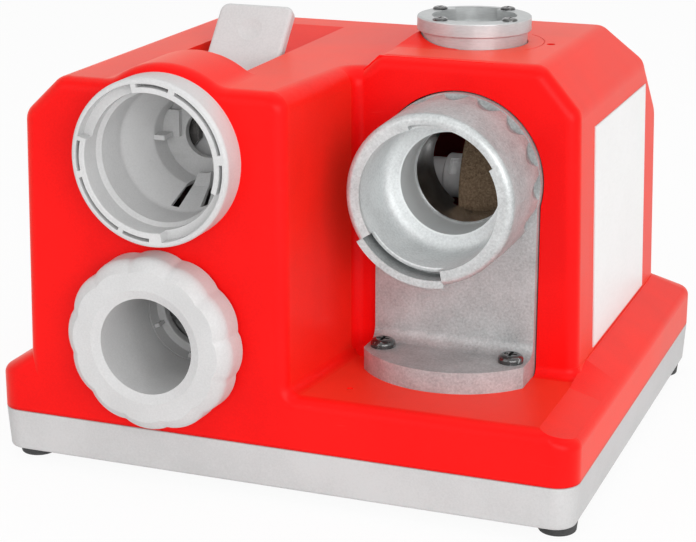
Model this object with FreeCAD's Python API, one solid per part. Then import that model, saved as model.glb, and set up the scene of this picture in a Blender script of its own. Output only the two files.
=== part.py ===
"""Bench drill bit sharpener: moulded housing on a tray, three ports, a parked chuck and a motor inside.

Millimetres, +X right, +Y to the rear, +Z up, z = 0 at the soles of the feet. The shapes are drawn about
the centre of the footprint and moved by Y_SHIFT when they are written, so that the origin lies under the
middle of the whole box, ports included.
"""
import FreeCAD, Part
import math
import os

V = FreeCAD.Vector
AXIS_X = V(1, 0, 0)
AXIS_Y = V(0, 1, 0)
AXIS_Z = V(0, 0, 1)
RUNNING = 0.05

# Footprint, tray and feet
WIDTH = 230.0
DEPTH = 205.0
CORNER_R = 9.0
FOOT_HEIGHT = 5.0
FOOT_R = 7.5
FOOT_X = 105.8
FOOT_Y = 88.5
FOOT_PLACES = [(x, y) for x in (FOOT_X, -FOOT_X) for y in (FOOT_Y, -FOOT_Y)]
SEAM_Z = 21.4
SEAM_GAP = 0.3
TRAY_TAPER = 1.1
TRAY_WALL = 3.0
TRAY_FLOOR = 3.0
LIP_HEIGHT = 3.0
LIP_GAP = 0.2
POST_R = 4.4
FOOT_SCREW_R = 1.9

# Housing shell
WALL = 3.0
SKIRT_Z = 37.0
LEDGE_Z = 45.5
LEDGE_IN = 14.0
FRONT_IN = 1.5
RIDGE_R = 4.0
SHELF_Z = 42.0
BODY_LOW_X = 100.6
BODY_HIGH_X = 98.0
BODY_FOOT_Z = 30.0
CHAMFER_LOW_Z = 140.0
REAR_Y = 88.0
SHOULDER_Z = 120.0
FRONT_Y = -DEPTH / 2
LEFT_TOP = 154.2
LEFT_CHAMFER_X = -83.0
LEFT_RIGHT_X = 6.0
LEFT_FLARE = 0.11
LEFT_REAR_Y = 51.0
JOINT_X = -4.0
SADDLE_X = 16.0
RIGHT_TOP = 159.3
RIGHT_FACE_Y = -46.7
RIGHT_CHAMFER_X = 83.5
RIGHT_CHAMFER_Z = 142.5
RIGHT_FLANK = ((-3.0, 137.0), (21.0, 159.3))
RIGHT_REAR_Y = 50.0
SOFT_R = 7.0
FRONT_EDGE_R = 5.0
REAR_EDGE_R = 6.0
INNER_EDGE_R = 4.0
BUMP_EDGE_R = 3.0
SHELF_LAP_X = 90.0
SHELF_EDGE_R = 5.0
SHELF_END_X = 100.5
SHELF_END_Y = (-56.0, -33.0)
SHELF_END_SLOPE = 16.3

# Alignment port, its pawls and its lever
ALIGN_X = -41.0
ALIGN_Z = 128.0
ALIGN_R = 31.0
ALIGN_FRONT_Y = -114.0
ALIGN_SLEEVE_R = 27.0
ALIGN_TUBE_R = (26.2, 18.8)
ALIGN_BORE_R = 25.5
ALIGN_INNER_R = (24.2, 17.4)
ALIGN_CONE_Y = (-88.0, -74.0)
ALIGN_REAR_Y = -64.0
FINGER_ANGLE = -84.0
FINGER_HALF = 11.0
FINGER_SLOT = 8.0
FINGER_PAD_R = 13.6
FINGER_PAD_Y = (-74.0, -68.0)
BUMP_R = 33.7
BUMP_BLEND_R = 10.0
BUMP_REAR_Y = -69.0
POCKET_X = (-62.0, -23.0)
POCKET_STEP_Y = -52.0
POCKET_STEP_Z = 150.0
POCKET_RAMP_Y = -27.0
POCKET_BEND = (-12.0, 145.5)
POCKET_REAR_Y = 34.0
POCKET_FLOOR_Z = 134.0
LEVER_X = (-57.0, -26.0)
LEVER_PIVOT = (-36.0, 140.5)
LEVER_ANGLE = 49.0
LEVER_LENGTH = 37.0
LEVER_THICK = 5.0
LEVER_DISH_R = 30.0
LEVER_DISH_DEPTH = 0.4
LEVER_HUB_R = 4.5
LEVER_TAIL_Z = 118.0
LEVER_TAIL_X = 5.0
LEVER_ARM = 9.0
PIN_R = 2.0
SPRING_WIRE_R = 0.35
SPRING_PITCH = 1.2
SPRING_LENGTH = 3.2
PAWL_HALF_Z = 10.0
PAWL_TIP = 5.0
PAWL_REACH = 18.0
GUIDE_HALF = 26.0
GUIDE_RAIL = 3.0
GUIDE_HOLE_R = 9.0
GUIDE_DISC_R = 18.8

# Parked chuck
CHUCK_X = -44.0
CHUCK_Z = 59.2
KNOB_R = 33.8
KNOB_FRONT_Y = -116.0
KNOB_REAR_Y = -103.3
KNOB_BORE_R = 18.4
KNOB_HUB_R = 21.5
KNOB_HUB_Y = -75.0
KNOB_LOBES = 12
KNOB_NOTCH_DEPTH = 1.1
KNOB_NOTCH_ANGLE = 11.5
KNOB_SHOULDER = [(4.6, 0), (2.8, 1.4), (1.1, 3.2), (0.3, 6.0)]
SOCKET_R = (24.0, 27.2)
SOCKET_REAR_Y = -28.0
CHUCK_R = 23.6
CHUCK_REAR_Y = -30.0
CHUCK_LIP_R = 15.2
CHUCK_LIP_Y = (-68.0, -64.0)
CHUCK_KEYS = 6
CHUCK_KEY = (1.4, 2.0, 5.0)
KEY_ANGLE = 23.0
JAW_R = (9.5, 18.0)
JAW_Y = (-62.5, -36.0)
JAW_COUNT = 3
JAW_SLIT = 1.6

# Sharpening port bracket
BRACKET_X = 53.0
BRACKET_HALF = 31.4
ARCH_R = 32.4
WINDOW_GAP = 0.5
RING_Z = 115.5
RING_R = (31.4, 32.2)
RING_FRONT_Y = -82.5
PLATE_Y = (-49.5, -41.0)
FOOT_PLATE_T = 8.2
FOOT_PLATE_FRONT_Y = -78.6
FOOT_PLATE_SIDE_Y = -62.5
FOOT_FILLET_R = 5.0
FOOT_CORNER_R = 4.0
SCOOP_COUNT = 16
SCOOP_R = 7.0
SCOOP_DEPTH = 2.3
SCOOP_REACH = 18.0
SCOOP_TILT = 11.0
RING_EDGE_R = 2.6
RING_BORE_R = 26.0
RING_BORE_DEPTH = 25.0
RING_STEP_R = 19.4
RING_NOTCH_R = 27.6
RING_NOTCH_SPAN = (30.0, 106.0)
RING_LUG_R = (29.8, 32.6)
RING_LUG_SPAN = (213.5, 281.0)
RING_LEDGE_R = 27.3
RING_BOSS_R = 24.0
RING_REAR_Y = -30.0
LINER_R = 18.8
LINER_Y = (-39.0, -19.0)
BRACKET_SCREW_DX = 25.2
BRACKET_SCREW_Y = -57.9
BRACKET_SCREW_R = 2.2
BRACKET_HEAD_R = 4.8
BRACKET_SCREWS = [(BRACKET_X + dx, BRACKET_SCREW_Y) for dx in (-BRACKET_SCREW_DX, BRACKET_SCREW_DX)]

# Top port
TOP_X = 45.0
TOP_Y = -3.9
TOP_FLANGE_R = 22.0
TOP_FLANGE_Z = (163.8, 169.3)
TOP_BODY_R = 20.5
TOP_BODY_LOW_Z = 141.5
TOP_BORE_R = 16.0
TOP_SCREW_R = 18.6
TOP_SCREW_ANGLE = 63.0
TOP_SCREW_SHANK_R = 1.5
TOP_HUMP_Z = 163.4
TOP_GROOVE_R = (26.9, 27.3)
TOP_GROOVE_SPAN = (-28.0, 50.0)
TOP_HOLE_GAP = 0.5
PEEP_HOLE = (74.9, -1.4)
PEEP_HOLE_R = 1.7
GATE_MARK = (24.9, -85.5)
GATE_MARK_R = 1.2
GATE_MARK_DEPTH = 0.4

# Motor and grinding wheel, turning about a line parallel to X
MOTOR_Y = 12.0
MOTOR_Z = 101.0
CAN_R = 33.0
CAN_WALL = 2.0
CAN_X = (-72.0, 2.0)
CAP_T = 4.0
BEARING_R = 9.0
SHAFT_R = 4.0
SHAFT_GAP = 0.03
SHAFT_X = (-93.5, 67.0)
ROTOR_R = 20.0
STATOR_R = 21.0
CORE_X = (-58.0, -12.0)
FAN_R = 26.0
FAN_X = (-91.5, -80.5)
FAN_BLADES = 9
ARBOR_R = 7.0
HUB_R = 9.0
HUB_X = 30.5
ARBOR_X = (24.0, 45.2)
WHEEL_R = 34.0
WHEEL_BORE_R = 6.0
WHEEL_X = (45.2, 63.2)
NUT_R = 7.5
NUT_RIM_R = 12.0
GUARD_R = (37.0, 38.5)
GUARD_X = (26.0, 66.5)
GUARD_SPAN = (-110.0, 55.0)
GUARD_LEG_X = (50.0, 62.0)
CRADLE_X = (-64.0, -8.0)
CRADLE_Y = (MOTOR_Y - 36, MOTOR_Y + 36)
FIXING_T = 3.0
DRIVE_SCREW_R = 1.65
CRADLE_SCREWS = [(x, y) for x in (-50.0, -22.0) for y in (MOTOR_Y - 31, MOTOR_Y + 31)]
GUARD_SCREWS = [(42.0, MOTOR_Y), (70.0, MOTOR_Y)]

# Rear fittings
SWITCH_X = 58.0
SWITCH_Z = 86.0
SWITCH_PIVOT_Y = 85.0
ROCKER_TILT = 8.0
ROCKER_HALF_Z = 9.5
GLAND_X = 84.0
GLAND_Z = 62.0
GLAND_HOLE_R = 7.0
VENT_COUNT = 8
VENT_PITCH = 8.0
VENT_X = -70.0
VENT_Z = (64.0, 96.0)
VENT_HALF = 1.8

# Sticker field on the right wall
LABEL_Y = (-22.5, 63.0)
LABEL_Z = (47.0, 133.6)
LABEL_T = 0.4

Y_SHIFT = (-KNOB_FRONT_Y - DEPTH / 2) / 2

PARTS = {}


# Drawing helpers

def box(x0, x1, y0, y1, z0, z1):
    return Part.makeBox(x1 - x0, y1 - y0, z1 - z0, V(x0, y0, z0))


def rod_x(y, z, r, x0, x1):
    return Part.makeCylinder(r, x1 - x0, V(x0, y, z), AXIS_X)


def rod_y(x, z, r, y0, y1):
    return Part.makeCylinder(r, y1 - y0, V(x, y0, z), AXIS_Y)


def rod_z(x, y, r, z0, z1):
    return Part.makeCylinder(r, z1 - z0, V(x, y, z0), AXIS_Z)


def fuse(shapes):
    return shapes[0].fuse(shapes[1:]).removeSplitter()


def on_circle(radius, degrees):
    angle = math.radians(degrees)
    return radius * math.cos(angle), radius * math.sin(angle)


def unit(a, b):
    length = math.hypot(b[0] - a[0], b[1] - a[1])
    return (b[0] - a[0]) / length, (b[1] - a[1]) / length


def corner(before, at, after, radius):
    """Start, middle and end of the arc that rounds the corner `at` of a polygon."""
    back = unit(at, before)
    ahead = unit(at, after)
    half = math.acos(back[0] * ahead[0] + back[1] * ahead[1]) / 2
    reach = radius / math.tan(half)
    bisector = unit((0, 0), (back[0] + ahead[0], back[1] + ahead[1]))
    depth = radius / math.sin(half) - radius
    start = (at[0] + back[0] * reach, at[1] + back[1] * reach)
    middle = (at[0] + bisector[0] * depth, at[1] + bisector[1] * depth)
    end = (at[0] + ahead[0] * reach, at[1] + ahead[1] * reach)
    return start, middle, end


def outline(points, place):
    """Closed face through points (u, v[, radius[, arc_middle]]) that place() sets in space.

    A radius rounds the corner, and an arc_middle makes the edge that arrives at the point an arc."""
    full = [tuple(p) + (0, None)[len(p) - 2:] for p in points]
    count = len(full)
    spans = []
    for i, (u, v, radius, _) in enumerate(full):
        if radius:
            spans.append(corner(full[i - 1][:2], (u, v), full[(i + 1) % count][:2], radius))
        else:
            spans.append(((u, v), None, (u, v)))
    edges = []
    for i in range(count):
        start, middle, end = spans[i]
        if middle:
            edges.append(Part.Arc(place(*start), place(*middle), place(*end)).toShape())
        target = spans[(i + 1) % count][0]
        arc_middle = full[(i + 1) % count][3]
        if arc_middle:
            edges.append(Part.Arc(place(*end), place(*arc_middle), place(*target)).toShape())
        else:
            edges.append(Part.LineSegment(place(*end), place(*target)).toShape())
    return Part.Face(Part.Wire(edges))


def prism_x(points, x0, x1):
    """Prism along X of an outline in (y, z)."""
    return outline(points, lambda y, z: V(x0, y, z)).extrude(V(x1 - x0, 0, 0))


def prism_y(points, y0, y1):
    """Prism along Y of an outline in (x, z)."""
    return outline(points, lambda x, z: V(x, y0, z)).extrude(V(0, y1 - y0, 0))


def prism_z(points, z0, z1):
    """Prism along Z of an outline in (x, y)."""
    return outline(points, lambda x, y: V(x, y, z0)).extrude(V(0, 0, z1 - z0))


def turned_x(y, z, points):
    """Solid turned about the line parallel to X through (y, z), from points (radius, x)."""
    return outline(points, lambda r, x: V(x, y, z + r)).revolve(V(0, y, z), AXIS_X, 360)


def turned_y(x, z, points):
    """Solid turned about the line parallel to Y through (x, z), from points (radius, y)."""
    return outline(points, lambda r, y: V(x + r, y, z)).revolve(V(x, 0, z), AXIS_Y, 360)


def turned_z(x, y, points):
    """Solid turned about the line parallel to Z through (x, y), from points (radius, z)."""
    return outline(points, lambda r, z: V(x + r, y, z)).revolve(V(x, y, 0), AXIS_Z, 360)


def sector(centre, radii, degrees):
    """Outline of a ring sector about a centre, between two radii and two angles."""
    def at(radius, angle):
        u, v = on_circle(radius, angle)
        return centre[0] + u, centre[1] + v
    inner, outer = radii
    first, last = degrees
    middle = (first + last) / 2
    return [at(outer, first), at(outer, last) + (0, at(outer, middle)),
            at(inner, last), at(inner, first) + (0, at(inner, middle))]


def rounded_rectangle(half_x, half_y, radius):
    return [(-half_x, -half_y, radius), (half_x, -half_y, radius),
            (half_x, half_y, radius), (-half_x, half_y, radius)]


def rounded(shape, radius, test):
    """The shape with the edges whose bounding box passes the test rounded."""
    return shape.makeFillet(radius, [e for e in shape.Edges if test(e.BoundBox)])


def at_y(y):
    return lambda b: abs(b.YMin - y) < 0.01 and abs(b.YMax - y) < 0.01


def at_z(z):
    return lambda b: abs(b.ZMin - z) < 0.01 and abs(b.ZMax - z) < 0.01


def pan_screw(head_r, head_h, shank_r, length):
    """Pan-head screw with a cross recess, its seat at z = 0 and its shank pointing down."""
    shoulder = head_h * 0.45
    crown_r = head_r * 0.45
    screw = turned_z(0, 0, [(0, -length), (shank_r, -length), (shank_r, 0), (head_r, 0), (head_r, shoulder),
                            (crown_r, head_h, 0, (head_r * 0.84, head_h * 0.86)), (0, head_h)])
    half = head_r * 0.52
    arm = head_r * 0.13
    floor = head_h * 0.35
    cross = fuse([box(-half, half, -arm, arm, floor, head_h + 1),
                  box(-arm, arm, -half, half, floor, head_h + 1)])
    return screw.cut(cross)


def placed(shape, x, y, z):
    return shape.translated(V(x, y, z))


def copies(shape, places, z):
    return Part.makeCompound([placed(shape, x, y, z) for x, y in places])


# Housing

def half_width(z):
    """Half the body's width at a height, from the draft of its walls."""
    return BODY_LOW_X + (BODY_HIGH_X - BODY_LOW_X) * (z - LEDGE_Z) / (CHAMFER_LOW_Z - LEDGE_Z)


def rear_profile(top_y, top_z, inset):
    """Side view of a block, open to the front: a sloping shoulder and an upright rear wall."""
    over = 20.0
    run = (REAR_Y - top_y) / (top_z - SHOULDER_Z)
    rear = REAR_Y - inset
    return [(-150, 0), (rear, 0), (rear, SHOULDER_Z - inset * 0.5, 12),
            (top_y - inset * 1.3 - over * run, top_z + over), (-150, top_z + over)]


def bump_points(top):
    """The round bump that rises out of the left block's top over the alignment port."""
    rise = top + BUMP_BLEND_R - ALIGN_Z
    reach = BUMP_R + BUMP_BLEND_R
    run = math.sqrt(reach ** 2 - rise ** 2)
    touch_x = run * BUMP_R / reach
    touch_z = ALIGN_Z + rise * BUMP_R / reach
    dip_x, dip_z = on_circle(BUMP_BLEND_R, math.degrees(math.atan2(-rise, run)) / 2 - 45)
    dip_z += top + BUMP_BLEND_R
    return [(ALIGN_X - run, top),
            (ALIGN_X - touch_x, touch_z, 0, (ALIGN_X - run + dip_x, dip_z)),
            (ALIGN_X + touch_x, touch_z, 0, (ALIGN_X, ALIGN_Z + BUMP_R)),
            (ALIGN_X + run, top, 0, (ALIGN_X + run - dip_x, dip_z))]


def left_profile(inset, with_bump, wall):
    """Front view of the left block, from its outer wall to an upright face at x = wall."""
    top = LEFT_TOP - inset
    bump = bump_points(top) if with_bump else []
    return ([(-half_width(BODY_FOOT_Z) + inset, BODY_FOOT_Z),
             (-BODY_HIGH_X + inset, CHAMFER_LOW_Z - inset * 0.41, SOFT_R),
             (LEFT_CHAMFER_X + inset * 0.41, top, SOFT_R)]
            + bump + [(wall, top), (wall, BODY_FOOT_Z)])


def flank_profile(wall):
    """Front view of the left block's right flank, with a hollow rounding down to the shelf."""
    inner = JOINT_X - 16
    return [(inner, BODY_FOOT_Z), (inner, LEFT_TOP), (wall, LEFT_TOP, SOFT_R), (wall, SHELF_Z, INNER_EDGE_R),
            (SHELF_LAP_X, SHELF_Z), (SHELF_LAP_X, BODY_FOOT_Z)]


def flank_x(y):
    """Where the flank's upright wall stands at a depth, because it flares to the rear."""
    return LEFT_RIGHT_X + LEFT_FLARE * (y - FRONT_Y)


def left_flank():
    run = RIGHT_FACE_Y + 12 - FRONT_Y
    face = outline(flank_profile(LEFT_RIGHT_X), lambda x, z: V(x, FRONT_Y, z))
    flank = face.extrude(V(LEFT_FLARE * run, run, 0))
    return rounded(flank, FRONT_EDGE_R,
                   lambda b: at_y(FRONT_Y)(b) and b.ZMax > BODY_FOOT_Z + 1 and b.XMax > JOINT_X - 15)


def right_profile(inset):
    """Front view of the right block, whose left flank is sunk in the left block."""
    top = RIGHT_TOP - inset
    (flank_low_x, flank_low_z), (flank_top_x, _) = RIGHT_FLANK
    return [(flank_low_x, BODY_FOOT_Z), (flank_low_x, flank_low_z - inset), (flank_top_x, top, SOFT_R),
            (RIGHT_CHAMFER_X - inset * 0.41, top, SOFT_R),
            (half_width(RIGHT_CHAMFER_Z) - inset, RIGHT_CHAMFER_Z - inset * 0.41, SOFT_R),
            (half_width(BODY_FOOT_Z) - inset, BODY_FOOT_Z)]


def left_block(inset):
    wall = LEFT_RIGHT_X - WALL if inset else JOINT_X
    front = prism_y(left_profile(inset, inset == 0, wall), FRONT_Y + inset, BUMP_REAR_Y)
    rear = prism_y(left_profile(inset, False, wall), BUMP_REAR_Y - 12, REAR_Y + 20)
    shoulder = prism_x(rear_profile(LEFT_REAR_Y, LEFT_TOP, inset), -WIDTH, WIDTH)
    if inset:
        return front.fuse(rear).common(shoulder).removeSplitter()
    front = rounded(front, FRONT_EDGE_R,
                    lambda b: at_y(FRONT_Y)(b) and b.ZMax > BODY_FOOT_Z + 1 and b.XMin < JOINT_X - 1)
    front = rounded(front, BUMP_EDGE_R, lambda b: at_y(BUMP_REAR_Y)(b) and b.ZMin > LEFT_TOP + 1)
    saddle = box(JOINT_X - 16, SADDLE_X, RIGHT_FACE_Y + SOFT_R, REAR_Y + 20, BODY_FOOT_Z, LEFT_TOP)
    block = front.fuse([rear, saddle]).common(shoulder).removeSplitter()
    return rounded(block, REAR_EDGE_R, lambda b: at_z(LEFT_TOP)(b) and b.YMin > 0 and b.XLength > 50)


def right_block(inset):
    block = prism_y(right_profile(inset), RIGHT_FACE_Y + inset, REAR_Y + 20)
    shoulder = prism_x(rear_profile(RIGHT_REAR_Y, RIGHT_TOP, inset), -WIDTH, WIDTH)
    if inset:
        return block.common(shoulder).removeSplitter()
    block = rounded(block, FRONT_EDGE_R, lambda b: at_y(RIGHT_FACE_Y)(b) and b.ZMax > BODY_FOOT_Z + 1)
    block = block.common(shoulder).removeSplitter()
    return rounded(block, REAR_EDGE_R, lambda b: at_z(RIGHT_TOP)(b) and b.YMin > 0 and b.XLength > 50)


def skirt(inset):
    """Low outer rim with a ledge that slopes up to the body on three sides."""
    half_x = WIDTH / 2 - inset
    half_y = DEPTH / 2 - inset
    low = SEAM_Z + SEAM_GAP
    high = SKIRT_Z - inset
    rise = LEDGE_Z - SKIRT_Z
    base = outline(rounded_rectangle(half_x, half_y, CORNER_R - inset * 0.5), lambda x, y: V(x, y, high))
    top = outline([(-half_x + LEDGE_IN, -half_y + FRONT_IN, 6), (half_x - LEDGE_IN, -half_y + FRONT_IN, 6),
                   (half_x - LEDGE_IN, half_y - LEDGE_IN, 6), (-half_x + LEDGE_IN, half_y - LEDGE_IN, 6)],
                  lambda x, y: V(x, y, high + rise))
    slope = Part.makeLoft([base.OuterWire, top.OuterWire], True, True)
    upright = base.extrude(V(0, 0, low - high - (1 if inset else 0)))
    rim = upright.fuse(slope).removeSplitter()
    if inset == 0:
        rim = rounded(rim, RIDGE_R, at_z(high))
    return rim


def top_hump():
    """Rise of the top beside the top port, in line with the flank on its left and easing off elsewhere."""
    low = RIGHT_TOP - 8
    side = prism_x([(TOP_Y - 40, low), (TOP_Y - 40, RIGHT_TOP - 0.3), (TOP_Y - 22, RIGHT_TOP - 0.05, 18),
                    (TOP_Y - 8, TOP_HUMP_Z, 12), (TOP_Y + 38, TOP_HUMP_Z, 8), (TOP_Y + 49, RIGHT_TOP - 1),
                    (TOP_Y + 49, low)], -20, TOP_X + 30)
    (low_x, low_z), (top_x, top_z) = RIGHT_FLANK
    rise = (top_x - low_x) / (top_z - low_z)
    front = prism_y([(low_x, low_z), (top_x + (TOP_HUMP_Z - top_z) * rise, TOP_HUMP_Z, 5),
                     (TOP_X - 14, TOP_HUMP_Z, 6), (TOP_X, RIGHT_TOP - 0.05, 18),
                     (TOP_X + 20, RIGHT_TOP - 0.3), (TOP_X + 20, low_z)], -60, 60)
    return side.common(front)


def pocket_profile(grow):
    """Side view of the lever pocket: shallow in front, deep under the lever, ramped to the rear."""
    high = LEFT_TOP + 12
    bend_y, bend_z = POCKET_BEND
    over = (high - LEFT_TOP) * (POCKET_REAR_Y - bend_y) / (LEFT_TOP - bend_z)
    return [(BUMP_REAR_Y - grow, high), (BUMP_REAR_Y - grow, POCKET_STEP_Z - grow),
            (POCKET_STEP_Y - grow, POCKET_STEP_Z - grow), (POCKET_STEP_Y - grow, POCKET_FLOOR_Z - grow),
            (POCKET_RAMP_Y + grow * 0.4, POCKET_FLOOR_Z - grow), (bend_y + grow * 0.4, bend_z - grow, 6),
            (POCKET_REAR_Y + over + grow * 5.4, high)]


def arch(grow, y0, y1):
    """Plate or window shape of the sharpening port: an upright slab with a round head."""
    slab = box(BRACKET_X - BRACKET_HALF - grow, BRACKET_X + BRACKET_HALF + grow, y0, y1, SHELF_Z, RING_Z)
    return fuse([slab, rod_y(BRACKET_X, RING_Z, ARCH_R + grow, y0, y1)])


def arc_middle(centre, radius, degrees):
    u, v = on_circle(radius, degrees)
    return centre[0] + u, centre[1] + v


def hollow_corner():
    """Where the flank turns into the right block's face, its top edge rounded like the flank's."""
    r = INNER_EDGE_R
    y = RIGHT_FACE_Y - r
    x = flank_x(y) + r
    low = LEFT_TOP - SOFT_R
    outer = r + 2 * SOFT_R - INNER_EDGE_R
    crown = arc_middle((r + SOFT_R, low), SOFT_R, 135)
    profile = [(r, SHELF_Z), (r, low), (r + SOFT_R, LEFT_TOP, 0, crown), (outer, LEFT_TOP), (outer, SHELF_Z)]
    face = outline(profile, lambda u, z: V(x, y + u, z))
    return face.revolve(V(x, y, 0), AXIS_Z, 90)


def shelf_cove():
    """Hollow rounding from the shelf up to the right block's face and round its outer edge."""
    r = INNER_EDGE_R
    y = RIGHT_FACE_Y
    end = half_width(SHELF_Z) - FRONT_EDGE_R
    centre_y = y + FRONT_EDGE_R
    profile = [(-1, SHELF_Z - 1), (r, SHELF_Z - 1), (r, SHELF_Z),
               (0, SHELF_Z + r, 0, arc_middle((r, SHELF_Z + r), r, 225)), (-1, SHELF_Z + r)]
    start = flank_x(y)
    run = outline(profile, lambda u, z: V(start, y - u, z)).extrude(V(end - start, 0, 0))
    turn = outline(profile, lambda u, z: V(end, y - u, z)).revolve(V(end, centre_y, 0), AXIS_Z, 90)
    wall = outline(profile, lambda u, z: V(end + FRONT_EDGE_R + u, centre_y, z)).extrude(V(0, 2 * r, 0))
    return [run, turn, wall]


def shelved_skirt():
    """The outer skirt with its front right cut down to the shelf and that shelf's edge rounded."""
    high = LEDGE_Z + 20
    steps = [box(-10, WIDTH, -WIDTH, SHELF_END_Y[0], SHELF_Z, high),
             box(-10, SHELF_END_X, SHELF_END_Y[0] - 1, RIGHT_FACE_Y + 3, SHELF_Z, high)]
    rim = rounded(skirt(0).cut(steps), SHELF_EDGE_R,
                  lambda b: at_z(SHELF_Z)(b) and b.YMax < FRONT_Y + 5 and b.XLength > 30)
    return rim.cut(shelf_end())


def shelf_end():
    """Tool that leans the right end of the ledge down to the shelf, easing in over SHELF_END_Y."""
    far = WIDTH / 2
    reach = far - SHELF_END_X
    ledge_slope = (LEDGE_Z - SKIRT_Z) / LEDGE_IN
    ledge_x = WIDTH / 2 - LEDGE_IN
    high = LEDGE_Z + (ledge_x - SHELF_END_X) * ledge_slope
    low_drop = reach * math.tan(math.radians(SHELF_END_SLOPE))

    def section(y, z, drop):
        return outline([(SHELF_END_X, z), (far, z - drop), (far, LEDGE_Z + 20), (SHELF_END_X, LEDGE_Z + 20)],
                       lambda u, v: V(u, y, v))
    near, back = SHELF_END_Y
    front = section(near, SHELF_Z, low_drop)
    rear = section(back, high, reach * ledge_slope)
    ease = Part.makeLoft([front.OuterWire, rear.OuterWire], True, True)
    return [front.extrude(V(0, -WIDTH, 0)), ease]


def vents():
    """Upright cooling slots through the rear wall, as one tool."""
    low, high = VENT_Z
    slots = []
    for i in range(VENT_COUNT):
        x = VENT_X + i * VENT_PITCH
        h = VENT_HALF
        slot = [(x - h, low), (x + h, low, 0, (x, low - h)), (x + h, high), (x - h, high, 0, (x, high + h))]
        slots.append(prism_y(slot, REAR_Y - 2 * WALL, REAR_Y + 5))
    return slots


def build_housing():
    blocks = [left_flank(), right_block(0), shelved_skirt(), hollow_corner()]
    outer = left_block(0).fuse(blocks + shelf_cove())
    outer = outer.removeSplitter().fuse(top_hump()).removeSplitter()
    under_shelf = box(LEFT_RIGHT_X - WALL, WIDTH, -WIDTH, RIGHT_FACE_Y + WALL, SHELF_Z - WALL, LEDGE_Z)
    cavity = left_block(WALL).fuse([right_block(WALL), skirt(WALL).cut(under_shelf)]).removeSplitter()
    tub = prism_x(pocket_profile(WALL), POCKET_X[0] - WALL, POCKET_X[1] + WALL).common(outer)
    posts = [rod_z(x, y, POST_R, SEAM_Z, LEDGE_Z).common(outer) for x, y in FOOT_PLACES]
    low_posts = [rod_z(x, y, POST_R, FOOT_HEIGHT + TRAY_FLOOR + SEAM_GAP, SEAM_Z + 1) for x, y in FOOT_PLACES]
    shell = outer.cut(cavity).fuse([tub] + posts + low_posts).removeSplitter()
    lever_y, lever_z = LEVER_PIVOT
    middle_x = sum(LEVER_X) / 2
    tools = vents() + [
        prism_x(pocket_profile(0), POCKET_X[0], POCKET_X[1]),
        box(middle_x - LEVER_TAIL_X - 2, middle_x + LEVER_TAIL_X + 2, lever_y - 14, lever_y + 8,
            POCKET_FLOOR_Z - 10, POCKET_FLOOR_Z + 1),
        rod_x(lever_y, lever_z, PIN_R, POCKET_X[0] - 2 * WALL, POCKET_X[1] + 2 * WALL),
        rod_y(ALIGN_X, ALIGN_Z, ALIGN_SLEEVE_R + 0.3, FRONT_Y - 5, BUMP_REAR_Y - WALL),
        rod_y(CHUCK_X, CHUCK_Z, SOCKET_R[1] + 0.3, FRONT_Y - 5, FRONT_Y + 2 * WALL),
        arch(WINDOW_GAP, RIGHT_FACE_Y - 10, RIGHT_FACE_Y + 2 * WALL),
        rod_z(TOP_X, TOP_Y, TOP_BODY_R + TOP_HOLE_GAP, RIGHT_TOP - 3 * WALL, RIGHT_TOP + 20),
        rod_z(PEEP_HOLE[0], PEEP_HOLE[1], PEEP_HOLE_R, RIGHT_TOP - 2 * WALL, RIGHT_TOP + 5),
        rod_z(GATE_MARK[0], GATE_MARK[1], GATE_MARK_R, SHELF_Z - GATE_MARK_DEPTH, SHELF_Z + 1),
        prism_z(sector((TOP_X, TOP_Y), TOP_GROOVE_R, TOP_GROOVE_SPAN), RIGHT_TOP - 0.3, RIGHT_TOP + 1),
        rod_y(GLAND_X, GLAND_Z, GLAND_HOLE_R, REAR_Y - 2 * WALL, REAR_Y + 5),
        box(SWITCH_X - 9.6, SWITCH_X + 9.6, REAR_Y - 2 * WALL, REAR_Y + 5, SWITCH_Z - 12.6, SWITCH_Z + 12.6)]
    tools += [rod_z(x, y, BRACKET_SCREW_R + 0.1, SHELF_Z - 2 * WALL, SHELF_Z + 1) for x, y in BRACKET_SCREWS]
    tools += [rod_z(x, y, FOOT_SCREW_R + RUNNING, 0, SKIRT_Z - 4) for x, y in FOOT_PLACES]
    PARTS["housing_shell"] = shell.cut(tools)


# Tray, feet and sticker field

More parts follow.
